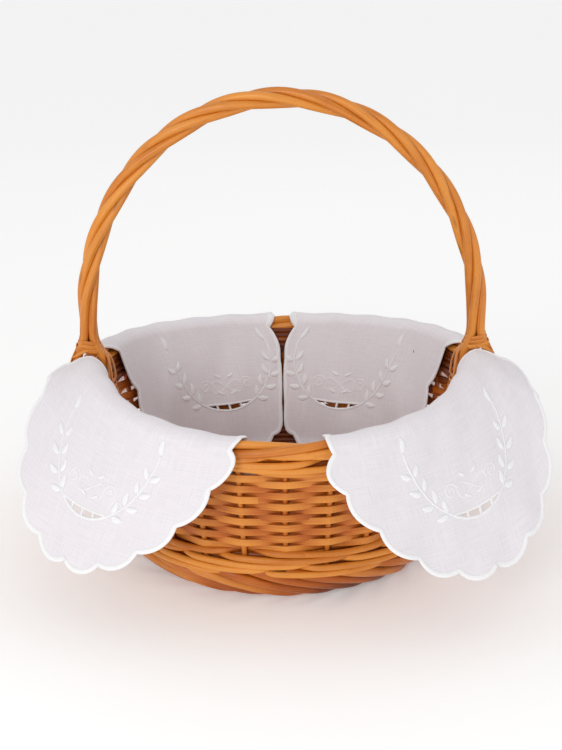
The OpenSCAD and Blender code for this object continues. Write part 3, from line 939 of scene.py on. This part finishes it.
class BASKET_OT_lashing(Operator):
    """Binds both ends of the handle to the border and down the inside of the wall with skein"""

    bl_idname = "basket.lashing"
    bl_label = "Lash the handle"

    def bind(self, side):
        """Every skein at one end of the handle."""
        h, w, s = settings().handle, settings().willow, shape()
        strips = []
        centre = side * h.half_width
        rim_level = s["border_level"] + w.saddle

        def add(points, outward, width=0.0030, thickness=0.0011):
            fine = smoothed(resampled(points, 0.0014), 3)
            share = np.linspace(0, 1, len(fine))
            outward = np.atleast_2d(outward)
            known = np.linspace(0, 1, len(outward))
            normals = np.column_stack([np.interp(share, known, outward[:, i]) for i in range(3)])
            strips.append(strip(fine, normals, width, thickness))

        # turns round the four rods just above the border
        for turn in range(3):
            level = s["side_top"] + 0.0085 + turn * 0.0028
            t = np.linspace(0, TAU * 1.06, 44) + turn
            reach_x, reach_y = leg_spread(level) + h.rod / 2 + 0.0006, 0.0028 + h.rod / 2 + 0.0006
            corner = (np.abs(np.cos(t)) ** 3.2 + np.abs(np.sin(t)) ** 3.2) ** (-1 / 3.2)
            points = np.column_stack([centre + reach_x * corner * np.cos(t),
                                      reach_y * corner * np.sin(t), level + 0.0016 * np.sin(t + side)])
            add(points, np.column_stack([np.cos(t), np.sin(t), 0 * t]), 0.0031, 0.0011)
        # bands from the turns, over the border on either side of the rods
        for y in (-0.0094, -0.0066, 0.0066, 0.0094):
            t = np.linspace(-0.35, np.pi + 0.55, 26)
            reach = 0.0074 + 0.0003 * (abs(y) > 0.008)
            arc = np.column_stack([side * w.rim_radius + side * reach * np.cos(t),
                                   np.full(26, y), rim_level + reach * np.sin(t)])
            inner = at(np.array([0.0]), wall_radius(0.100) - 0.0052, 0.096)[0]
            end = np.array([[side * inner[0], y * 1.25, inner[2]]])
            directions = np.column_stack([side * np.cos(t), 0 * t, np.sin(t)])
            add(np.concatenate([arc, end]), np.concatenate([directions, [[-side, 0, 0]]]))
        # crossed bands between the rods and the border
        for lean in (-1, 1):
            for shift in (0.0, 0.0026):
                points = np.array([
                    [centre + side * 0.0108, lean * (0.0072 - shift), s["side_top"] + 0.004],
                    [centre + side * 0.0060, lean * (0.0083 - shift), s["side_top"] + 0.0072],
                    [centre, lean * (0.0062 - shift * 0.6), s["side_top"] + 0.0090],
                    [centre - side * 0.0070, lean * (0.0010 + shift), s["side_top"] + 0.0085],
                    [centre - side * 0.0125, -lean * (0.0046 - shift), s["side_top"] + 0.0020],
                    [centre - side * 0.0142, -lean * (0.0090 - shift), s["side_top"] - 0.0060],
                    [centre - side * 0.0152, -lean * (0.0100 - shift), s["side_top"] - 0.0160]])
                add(points, [[side, lean, 0.6], [0, lean, 1], [-side, 0, 0.8], [-side, 0, 0.2]],
                    0.0026, 0.0010)
        # upright strands on the outside, between the turns and the border
        for y in (-0.0052, -0.0026, 0.0, 0.0026, 0.0052):
            points = np.array([[centre + side * 0.0088, y, s["side_top"] + 0.0084],
                               [centre + side * 0.0126, y * 1.15, s["side_top"] + 0.001],
                               [centre + side * 0.0121, y * 1.3, s["side_top"] - 0.0145]])
            add(points, [[side, 0, 0]], 0.0022, 0.0009)
        # herringbone down the inside, round the two inner rods
        for step in range(11):
            level = s["side_top"] - 0.0145 - step * 0.0042
            base = h.half_width - LEG_SLOPE * (s["side_top"] - 0.002 - level) - LEG_SPREAD
            y = np.linspace(-0.0105, 0.0105, 17)
            bulge = h.rod / 2 + 0.0009 - 0.0068 * np.maximum(0, np.abs(y) - 0.0046) / 0.0059
            slant = 0.0042 * (np.abs(y) / 0.0105) * (1 if step % 2 else 0.55)
            points = np.column_stack([side * (base - bulge), y, level + slant])
            add(points, [[-side, 0, 0]], 0.0029, 0.0010)
        return strips

    def execute(self, context):
        material = willow_material("Willow_skein", 0.58, 0.08, streaks=12.0)
        for side, label in ((-1, "left"), (1, "right")):
            random = np.random.default_rng(50 + side)
            strips = self.bind(side)
            tones = [random.uniform(0.25, 1.0) for _ in strips]
            obj = strips_mesh(f"Willow_lashing_{label}", strips, tones, material)
            basket_piece(obj, "skein", f"handle_collar_{label}", f"border_wrap_{label}")
        return {"FINISHED"}


# ---- doilies ---------------------------------------------------------------

# Radii of the fold over the rim, inside and outside, and of the turn on to the floor
FOLD_IN, FOLD_OUT, FLOOR_TURN = 0.0069, 0.0110, 0.0120
# Level where the cloth leaves the wall for the floor
TURN_LEVEL = 0.029
# Inside, the near edge comes nearer to the middle by REACH_PAST over REACH_RUN, but not nearer
# than NEAR_STOP, and the end is rounded off from ROUND_FROM on
NEAR_STOP, REACH_PAST, REACH_RUN, ROUND_FROM = 0.0005, 0.0090, 0.060, 0.082
# Inside, the far edge draws in from the handle by this angle, over this length
DRAW_IN, DRAW_RUN = np.radians(17), 0.025
# A flap widens from the rim on: in this length it would gain the whole of its half width
WIDEN_RUN = 0.250
MOST_FLARE = np.radians(78)
# Thickness of the linen
CLOTH = 0.0006
# The two back doilies meet between these lengths, and their scallops flatten over MEET_EASE
MEET_FROM, MEET_TO, MEET_EASE = 0.030, 0.100, 0.010


class Drape:
    """Lays flat cloth over the rim. x runs along the rim towards the handle, t across it:
    above 0 outside the basket, below 0 inside. off is the height over the cloth's middle."""

    def __init__(self, side, front):
        d, w, s = settings().doily, settings().willow, shape()
        self.side, self.front = side, front
        gaps = (10.5, 86.0) if front < 0 else (2.9, 80.5)
        self.start, self.stop = np.radians(gaps)
        if front < 0:
            self.flare, growth, self.bow = d.front_flare, d.front_growth, d.front_bow
        else:
            self.flare, growth, self.bow = d.back_flare, d.back_growth, d.back_bow
        self.rim, self.level = w.rim_radius, s["border_level"]
        self.waist, self.saddle = w.waist_height, w.saddle
        self.lean = np.arctan((self.rim - w.waist_radius) / (self.level - self.waist))
        self.fold = FOLD_IN * (np.pi / 2 - self.lean)
        self.wall = (self.level - TURN_LEVEL) / np.cos(self.lean)
        self.sizes = d
        uneven = 0.5 * d.spread * side if front < 0 else 0.0
        self.outer = d.outer + 0.003 * uneven
        self.half_width = d.half_width + 0.005 * uneven
        self.flare += np.radians(10.4) * uneven
        self.growth = growth + np.radians(6) * uneven
        self.skew = d.skew + 0.24 * uneven
        self.shoulder = {(-1, -1): 0.0060, (1, -1): 0.0085}.get((side, front), 0.0)
        self.ridge = 0.0045 if front < 0 else 0.0

    def outside(self, t, flare):
        """Radius and level of the cloth at length t past the rim, outside the basket."""
        turn = np.pi / 2 - flare
        a = np.minimum(t, FOLD_OUT * turn) / FOLD_OUT
        run = np.maximum(0, t - FOLD_OUT * turn)
        return (self.rim + FOLD_OUT * np.sin(a) + run * np.cos(turn),
                self.level + FOLD_IN - FOLD_OUT * (1 - np.cos(a)) - run * np.sin(turn))

    def inside(self, t):
        """Radius and level of the cloth at length -t past the rim, inside the basket."""
        s = -t
        a = np.minimum(s, self.fold) / FOLD_IN
        run = np.clip(s - self.fold, 0, self.wall)
        most = np.pi / 2 - self.lean
        b = np.clip(s - self.fold - self.wall, 0, FLOOR_TURN * most) / FLOOR_TURN
        flat = np.maximum(0, s - self.fold - self.wall - FLOOR_TURN * most)
        return (self.rim - FOLD_IN * np.sin(a) - run * np.sin(self.lean)
                - FLOOR_TURN * (np.cos(self.lean) - np.cos(self.lean + b)) - flat,
                self.level + FOLD_IN - FOLD_IN * (1 - np.cos(a)) - run * np.cos(self.lean)
                - FLOOR_TURN * (np.sin(self.lean + b) - np.sin(self.lean)))

    def edges(self, t):
        """Middle and half width of the cloth at each t, as lengths along the wall."""
        t = np.asarray(t, dtype=float)
        d = self.sizes
        out_r, in_r = self.outside(np.maximum(t, 0), self.flare)[0], self.inside(np.minimum(t, 0))[0]
        middle_out = (self.start + self.stop) / 2 * out_r - self.skew * np.maximum(t, 0)
        whole = (self.stop - self.start) / 2 * self.rim / self.half_width
        half_out = self.half_width * blunt(t / self.outer, 1.9) * np.minimum(1, whole + t / WIDEN_RUN)
        deep = np.clip(-t / REACH_RUN, 0, 1)
        low = np.maximum(NEAR_STOP, self.start * in_r - deep * REACH_PAST)
        high = (self.stop - DRAW_IN * (1 - np.exp(np.minimum(t, 0) / DRAW_RUN))) * in_r
        half_in = (high - low) / 2 * blunt(
            np.maximum(0, -t - ROUND_FROM) / (d.inner - ROUND_FROM), 2.4)
        inner = t < 0
        return (np.where(inner, (low + high) / 2, middle_out), np.where(inner, half_in, half_out))

    def middle(self, x, t):
        """Place of the middle of the cloth."""
        a = self.edges(t)[0] + x
        out_r = self.outside(np.maximum(t, 0), self.flare)[0]
        growth = (a / out_r - (self.start + self.stop) / 2) / ((self.stop - self.start) / 2)
        flare = np.minimum(MOST_FLARE, self.flare + self.growth * growth + self.bow * growth ** 2)
        r_out, z_out = self.outside(np.maximum(t, 0), flare)
        r_in, z_in = self.inside(np.minimum(t, 0))
        inner = t < 0
        r, z = np.where(inner, r_in, r_out), np.where(inner, z_in, z_out)
        angle = a / r
        high = np.where(inner, np.clip((z - self.waist) / (self.level - self.waist), 0, 1), 1)
        up = self.saddle * np.sin(angle) ** 2 * high ** 1.5
        return np.stack([r * np.sin(angle), r * np.cos(angle), z + up], axis=-1)

    def ripple(self, x, t):
        """Soft unevenness of the hanging cloth; it never goes into the basket."""
        hang = np.clip(t / 0.090, 0, 1) ** 1.5
        waves = np.sin(x * 78 + 1.3 * self.side + self.front) + 0.6 * np.sin(x * 131 - t * 40 + self.side)
        swell = 0.0011 * hang * waves
        depth = np.clip(-t / 0.050, 0, 1)
        swell += 0.0010 * depth * (1.2 + np.sin(x * 95 + t * 60 + 2 * self.front))
        swell += 0.0004 * (1 + np.sin(x * 210 + t * 90))
        swell += self.shoulder * np.exp(-((x - 0.076) / 0.034) ** 2 - ((t - 0.022) / 0.024) ** 2)
        swell += self.ridge * np.exp(-((x - 0.050) / 0.034) ** 2 - ((t - 0.002) / 0.015) ** 2)
        return swell

    def place(self, x, t, off=0.0):
        """Where a point of the flat cloth lies, raised by off along the cloth's normal."""
        x, t, off = np.broadcast_arrays(np.asarray(x, float), np.asarray(t, float), np.asarray(off, float))
        e = 0.0005
        here = self.middle(x, t)
        du = self.middle(x + e, t) - self.middle(x - e, t)
        dt = self.middle(x, t + e) - self.middle(x, t - e)
        normal = np.cross(du, dt)
        normal /= np.maximum(1e-12, np.linalg.norm(normal, axis=-1))[..., None]
        out = here + normal * (off + self.ripple(x, t))[..., None]
        return out * np.array([self.side, -1 if self.front < 0 else 1, 1])

    @property
    def flipped(self):
        """True if laying the cloth mirrors it."""
        return self.side * self.front < 0


def blunt(x, power):
    """One quarter of a rounded outline: 1 at x = 0 and 0 at x = 1."""
    return np.maximum(0, 1 - np.clip(x, 0, 1) ** power) ** (1 / power)


def outline(drape, count_per_scallop=22):
    """The scalloped edge of the flat cloth."""
    d = drape.sizes
    out = drape.outer * np.sin(np.linspace(0, np.pi / 2, 160))
    inn = -d.inner * np.sin(np.linspace(0, np.pi / 2, 160))[1:]
    t_right = np.concatenate([inn[::-1], out])
    half = drape.edges(t_right)[1]
    right = np.column_stack([half, t_right])
    loop = np.concatenate([right[::-1], (right * [-1, 1])[1:-1]])
    closed = np.concatenate([loop, loop[:1]])
    fine = resampled(closed, 0.0002)[:-1]
    fine = np.column_stack([np.convolve(np.concatenate([fine[-20:, i], fine[:, i], fine[:20, i]]),
                                        np.ones(41) / 41, "valid") for i in range(2)])
    count = d.scallops * count_per_scallop
    index = np.linspace(0, len(fine), count, endpoint=False)
    whole = np.concatenate([fine, fine[:1]])
    plain = np.column_stack([np.interp(index, range(len(whole)), whole[:, i]) for i in range(2)])
    along = np.roll(plain, -1, 0) - np.roll(plain, 1, 0)
    along /= np.linalg.norm(along, axis=1)[:, None]
    inward = np.column_stack([along[:, 1], -along[:, 0]])
    inward *= np.sign(np.sum(-plain * inward, axis=1))[:, None]
    place = np.arange(count) / count_per_scallop % 1
    met = np.where(plain[:, 0] < 0, np.clip((-plain[:, 1] - MEET_FROM) / MEET_EASE, 0, 1), 0)
    met *= np.clip((plain[:, 1] + MEET_TO) / MEET_EASE, 0, 1) if drape.front > 0 else 0
    plain = plain + inward * (d.scallop * (1 - 0.9 * met) * (2 * place - 1) ** 2)[:, None]
    return plain


def inset(path, distance):
    """A closed path moved inwards."""
    along = np.roll(path, -1, 0) - np.roll(path, 1, 0)
    along /= np.maximum(1e-9, np.linalg.norm(along, axis=1))[:, None]
    inward = np.column_stack([along[:, 1], -along[:, 0]])
    inward *= np.sign(np.sum(-path * inward, axis=1))[:, None]
    return path + inward * distance


# the wreath's stem is half an oval, and the cutwork is a band of small windows along its bottom
WREATH_HALF, WREATH_TOP, WREATH_DEEP = 0.0410, 0.0210, 0.0505
WINDOW_HALF, WINDOW_HIGH = 0.0186, 0.0050
BAR_AT = (-0.0090, 0.0002, 0.0094)
# The wreath on the inner half lies this much further from the handle
INNER_SHIFT = 0.020


def stem_at(turn):
    """A place on the stem; turn is 0 at the bottom and a quarter turn at each tip."""
    return np.column_stack([WREATH_HALF * np.sin(turn), WREATH_TOP + WREATH_DEEP * np.cos(turn)])


def window_bottom(x):
    """Length at the lower edge of the cutwork, at x across the wreath."""
    return WREATH_TOP + WREATH_DEEP * np.sqrt(1 - (x / WREATH_HALF) ** 2)


def window_height(x):
    """How high the cutwork is at x."""
    return WINDOW_HIGH * np.maximum(0, 1 - (x / WINDOW_HALF) ** 2) ** 0.8


def stitched(drape, flat, half_width, half_height, closed=False, lift_off=0.0, sides=8):
    """A line of raised stitching: flat path swept with an oval and laid on the cloth."""
    flat = np.asarray(flat, dtype=float)
    if closed:
        along = np.roll(flat, -1, 0) - np.roll(flat, 1, 0)
    else:
        along = np.gradient(flat, axis=0)
    along /= np.maximum(1e-9, np.linalg.norm(along, axis=1))[:, None]
    across = np.column_stack([-along[:, 1], along[:, 0]])
    half_width = np.broadcast_to(half_width, len(flat))
    half_height = np.broadcast_to(half_height, len(flat))
    turns = np.arange(sides) * TAU / sides
    x = flat[:, None, 0] + across[:, None, 0] * half_width[:, None] * np.cos(turns)
    t = flat[:, None, 1] + across[:, None, 1] * half_width[:, None] * np.cos(turns)
    off = lift_off + half_height[:, None] * np.sin(turns)
    points = drape.place(x, t, off)
    gaps = np.linalg.norm(np.diff(flat, axis=0), axis=1)
    return {"points": points, "along": np.concatenate([[0], np.cumsum(gaps)]), "closed": closed}


def stitches_mesh(name, lines, material, flip):
    """All the lines of stitching as one mesh."""
    vertices, faces, along, around = [], [], [], []
    for line in lines:
        first, (count, sides, _) = len(vertices), line["points"].shape
        vertices.extend(map(tuple, line["points"].reshape(-1, 3)))
        along.extend(np.repeat(line["along"], sides))
        around.extend(np.tile(np.arange(sides) / sides, count))
        for i in range(count if line["closed"] else count - 1):
            n = (i + 1) % count
            for j in range(sides):
                k = (j + 1) % sides
                faces.append((first + i * sides + j, first + i * sides + k,
                              first + n * sides + k, first + n * sides + j))
        if not line["closed"]:
            faces.append([first + j for j in range(sides - 1, -1, -1)])
            faces.append([first + (count - 1) * sides + j for j in range(sides)])
    return plain_mesh(name, vertices, faces, material, {"along": along, "around": around}, flip)


def leaf(drape, base, angle, length, half_width, move):
    """A satin-stitched leaf: pointed at both ends, raised along its middle."""
    k = np.linspace(0, 1, 13)
    bow = 0.10 * length * np.sin(np.pi * k)
    direction, across = np.array([np.cos(angle), np.sin(angle)]), np.array([-np.sin(angle), np.cos(angle)])
    flat = np.array(base) + np.outer(k * length, direction) + np.outer(bow, across) * np.sign(np.cos(angle))
    swell = np.maximum(0.06, np.sin(np.pi * k ** 0.85) ** 0.75)
    return stitched(drape, move(flat), half_width * swell, 0.00065 * swell ** 0.5 + 0.0001, lift_off=0.0003)


def wreath(drape, inner):
    """The embroidered wreath on one half of the doily: two leafy branches, a cutwork band and
    a plain scroll above it."""
    lines = []
    turn = -1 if inner else 1
    shift = -INNER_SHIFT if inner else 0.0

    def move(flat):
        flat = np.asarray(flat, dtype=float)
        return np.column_stack([flat[:, 0] + shift, flat[:, 1] * turn])

    stem = stem_at(np.linspace(-np.pi / 2, np.pi / 2, 110))
    lines.append(stitched(drape, move(stem), 0.00062, 0.00058, lift_off=0.0003))
    for hand in (-1, 1):
        for number, turn_at in enumerate(np.radians((32.0, 45.0, 58.0, 71.0))):
            point, ahead = stem_at(np.array([turn_at * hand, (turn_at + 0.02) * hand]))
            heading = np.arctan2(*(ahead - point)[::-1])
            size = (0.0082, 0.0086, 0.0084, 0.0076)[number]
            for lean in (-0.80, 0.80):
                away = np.array([np.cos(heading + lean), np.sin(heading + lean)])
                lines.append(leaf(drape, point + 0.0013 * away, heading + lean * 0.92, size, 0.00215, move))
        top = stem_at(np.array([hand * np.pi / 2]))[0]
        lines.append(leaf(drape, top, -np.pi / 2 - hand * 0.12, 0.0098, 0.0021, move))
        for turn_at in np.linspace(0.50, 1.45, 20):
            dot = stem_at(np.array([turn_at, turn_at + 0.004, turn_at + 0.008]) * hand)
            dot = dot + [0.0013 * hand, 0.0006]
            lines.append(stitched(drape, move(dot), (0.0001, 0.00035, 0.0001), (0.0001, 0.0004, 0.0001),
                                  lift_off=0.0003, sides=6))
    x = np.linspace(-WINDOW_HALF, WINDOW_HALF, 60)
    for level, width in ((window_bottom(x), 0.0010), (window_bottom(x) - window_height(x) - 0.0002, 0.0008)):
        lines.append(stitched(drape, move(np.column_stack([x, level])), width, 0.00066, lift_off=0.0001))
    for bar in BAR_AT:
        reach = window_bottom(bar) - np.linspace(0, 1, 9) * window_height(bar)
        flat = np.column_stack([np.full(9, bar) + np.linspace(-0.0003, 0.0003, 9), reach])
        lines.append(stitched(drape, move(flat), 0.00085, 0.00055))
    t = np.linspace(0, TAU, 90, endpoint=False)
    loop = np.column_stack([0.0115 * np.sin(t), 0.0535 + 0.0044 * np.sin(2 * t)])
    lines.append(stitched(drape, move(loop), 0.00042, 0.00036, closed=True, lift_off=0.0003))
    for hand in (-1, 1):
        spin = np.linspace(0, 1.55 * TAU, 60)
        reach = 0.0050 * (1 - spin / (1.85 * TAU))
        curl = np.column_stack([hand * (0.0165 - reach * np.cos(spin)), 0.0520 - reach * np.sin(spin)])
        lines.append(stitched(drape, move(curl), 0.00042, 0.00036, lift_off=0.0003))
        for rise in (0.0465, 0.0590):
            lines.append(leaf(drape, (hand * 0.0020, rise), (0 if hand > 0 else np.pi) - hand * 0.5, 0.0062,
                              0.0010, move))
    return lines


def in_windows(x, t, inner):
    """True where the cutwork is cut away."""
    if inner:
        x, t = x + INNER_SHIFT, -t
    x = np.clip(x, -WINDOW_HALF, WINDOW_HALF)
    low = window_bottom(x)
    clear = (t < low - 0.0005) & (t > low - window_height(x) + 0.0001)
    for bar in BAR_AT:
        clear &= np.abs(x - bar) > 0.0005
    return clear & (np.abs(x) < WINDOW_HALF)


class BASKET_OT_doilies(Operator):
    """Cuts, hems and embroiders the four doilies, and lays them over the rim"""

    bl_idname = "basket.doilies"
    bl_label = "Lay the doilies"

    def cloth(self, name, drape, material):
        """The linen: rings of the edge's shape, less the windows, laid over the rim."""
        d = drape.sizes
        edge = inset(outline(drape), 0.0007)
        rings = 78
        count = len(edge)
        shares = np.linspace(0, 1, rings + 1)[1:]
        flat = np.concatenate([[[0.0, 0.0]], (shares[:, None, None] * edge[None]).reshape(-1, 2)])
        places = drape.place(flat[:, 0], flat[:, 1])
        faces = [(0, 1 + j, 1 + (j + 1) % count) for j in range(count)]
        for i in range(rings - 1):
            a, b = 1 + i * count, 1 + (i + 1) * count
            faces.extend((a + j, b + j, b + (j + 1) % count, a + (j + 1) % count) for j in range(count))
        kept = []
        for face in faces:
            x, t = flat[list(face)].mean(axis=0)
            if not (in_windows(x, t, False) or in_windows(x, t, True)):
                kept.append(face)
        mesh = bpy.data.meshes.new(name)
        mesh.from_pydata(list(map(tuple, places)), [], kept)
        at_cloth = mesh.attributes.new("cloth_at", "FLOAT_VECTOR", "POINT")
        at_cloth.data.foreach_set("vector", np.column_stack([flat, np.zeros(len(flat))]).ravel())
        mesh.polygons.foreach_set("use_smooth", [True] * len(mesh.polygons))
        mesh.materials.append(material)
        if self.turn_faces(drape, flat, kept):
            mesh.flip_normals()
        mesh.update()
        obj = bpy.data.objects.new(name, mesh)
        bpy.context.scene.collection.objects.link(obj)
        self.drop_loose(obj)
        wall = obj.modifiers.new("Thickness", "SOLIDIFY")
        wall.thickness = CLOTH
        wall.offset = 0.0
        return baked(obj)

    @staticmethod
    def turn_faces(drape, flat, faces):
        """True if the faces point to the cloth's wrong side."""
        a, b, c = (flat[i] for i in faces[len(faces) // 2][:3])
        anticlockwise = (b[0] - a[0]) * (c[1] - a[1]) - (b[1] - a[1]) * (c[0] - a[0]) > 0
        return anticlockwise == drape.flipped

    @staticmethod
    def drop_loose(obj):
        """Deletes the points that the windows left without a face."""
        bm = bmesh.new()
        bm.from_mesh(obj.data)
        loose = [v for v in bm.verts if not v.link_faces]
        bmesh.ops.delete(bm, geom=loose, context="VERTS")
        bm.to_mesh(obj.data)
        bm.free()

    def execute(self, context):
        linen, thread = linen_material(), thread_material()
        for side, hand in ((-1, "left"), (1, "right")):
            for front, end in ((-1, "front"), (1, "back")):
                label = f"{end}_{hand}"
                drape = Drape(side, front)
                cloth = self.cloth(f"Linen_{label}", drape, linen)
                edge = outline(drape)
                d = drape.sizes
                hem = stitched(drape, inset(edge, d.hem * 0.46), d.hem / 2, 0.00085, closed=True, sides=10)
                lines = [hem] + wreath(drape, False) + wreath(drape, True)
                stitches = stitches_mesh(f"Embroidery_{label}", lines, thread, drape.flipped)
                node = f"doily_{label}"
                for piece in (cloth, stitches):
                    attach(piece, node)
                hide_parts(node)
        return {"FINISHED"}


# ---- stage -----------------------------------------------------------------


class BASKET_OT_stage(Operator):
    """Sets the floor, the soft lights and the camera"""

    bl_idname = "basket.stage"
    bl_label = "Set the stage"

    def light(self, name, place, aim, size, power, colour=(1.0, 1.0, 1.0)):
        """A round soft light that points at aim."""
        data = bpy.data.lights.new(name, "AREA")
        data.shape, data.size, data.energy, data.color = "DISK", size, power, colour
        obj = bpy.data.objects.new(name, data)
        obj.location = place
        obj.rotation_mode = "QUATERNION"
        obj.rotation_quaternion = (Vector(aim) - Vector(place)).to_track_quat("-Z", "Y")
        bpy.context.scene.collection.objects.link(obj)

    def execute(self, context):
        scene = context.scene
        mesh = bpy.data.meshes.new("Floor")
        reach = 6.0
        mesh.from_pydata([(-reach, -reach, 0), (reach, -reach, 0), (reach, reach, 0), (-reach, reach, 0)],
                         [], [(0, 1, 2, 3)])
        floor = bpy.data.objects.new("Floor", mesh)
        scene.collection.objects.link(floor)
        n = Nodes("Floor_plain")
        mesh.materials.append(n.finish(Base_Color=(0.90, 0.90, 0.90, 1.0), Roughness=0.9,
                                       Specular_IOR_Level=0.1, Emission_Color=(1.0, 1.0, 1.0, 1.0),
                                       Emission_Strength=0.19))

        world = bpy.data.worlds.new("Studio")
        world.use_nodes = True
        world.node_tree.nodes["Background"].inputs[0].default_value = (1.0, 1.0, 1.0, 1.0)
        world.node_tree.nodes["Background"].inputs[1].default_value = 0.78
        scene.world = world
        scene.view_settings.view_transform = "Standard"

        self.light("Key", (-0.42, -1.20, 0.56), (0, 0.02, 0.11), 0.42, 4.6, (1.0, 0.99, 0.98))
        self.light("Fill", (0.95, -0.75, 0.60), (0, 0, 0.12), 0.90, 0.25, (0.98, 0.99, 1.0))
        self.light("Back", (0.2, 1.1, 0.95), (0, 0, 0.15), 0.80, 0.5)

        elevation, distance, roll = np.radians(19.25), 0.931, np.radians(-0.816)
        aim = Vector((-0.0013, 0.0, 0.1143))
        camera = bpy.data.objects.new("Camera", bpy.data.cameras.new("Camera"))
        camera.data.sensor_fit = "HORIZONTAL"
        camera.data.sensor_width = 36.0
        camera.data.lens = 89.3
        camera.data.clip_start = 0.05
        back = Vector((0.0, -np.cos(elevation), np.sin(elevation)))
        camera.location = aim + back * distance
        camera.rotation_mode = "QUATERNION"
        camera.rotation_quaternion = (-back).to_track_quat("-Z", "Y") @ Quaternion((0, 0, 1), roll)
        scene.collection.objects.link(camera)
        scene.camera = camera
        return {"FINISHED"}


class BASKET_PT_panel(Panel):
    """The basket's pieces and settings"""

    bl_label = "Willow Flower Basket"
    bl_space_type = "VIEW_3D"
    bl_region_type = "UI"
    bl_category = "Basket"

    def draw(self, context):
        data = context.scene.willow_basket
        for group in (data.willow, data.handle, data.doily, data.finish):
            box = self.layout.box()
            for name in group.bl_rna.properties.keys():
                if name not in ("rna_type", "name"):
                    box.prop(group, name)
        for step in STEPS:
            self.layout.operator(step.bl_idname)


STEPS = (BASKET_OT_stage, BASKET_OT_base, BASKET_OT_foot, BASKET_OT_stakes, BASKET_OT_waling,
         BASKET_OT_randing, BASKET_OT_rim, BASKET_OT_handle, BASKET_OT_lashing, BASKET_OT_doilies)
CLASSES = (WillowSizes, HandleSizes, DoilySizes, Finishes, BasketSettings) + STEPS + (BASKET_PT_panel,)


def register():
    for item in CLASSES:
        bpy.utils.register_class(item)
    bpy.types.Scene.willow_basket = PointerProperty(type=BasketSettings)


def unregister():
    del bpy.types.Scene.willow_basket
    for item in reversed(CLASSES):
        bpy.utils.unregister_class(item)


def main():
    register()
    for step in STEPS:
        group, name = step.bl_idname.split(".")
        getattr(getattr(bpy.ops, group), name)()


if __name__ == "__main__":
    main()
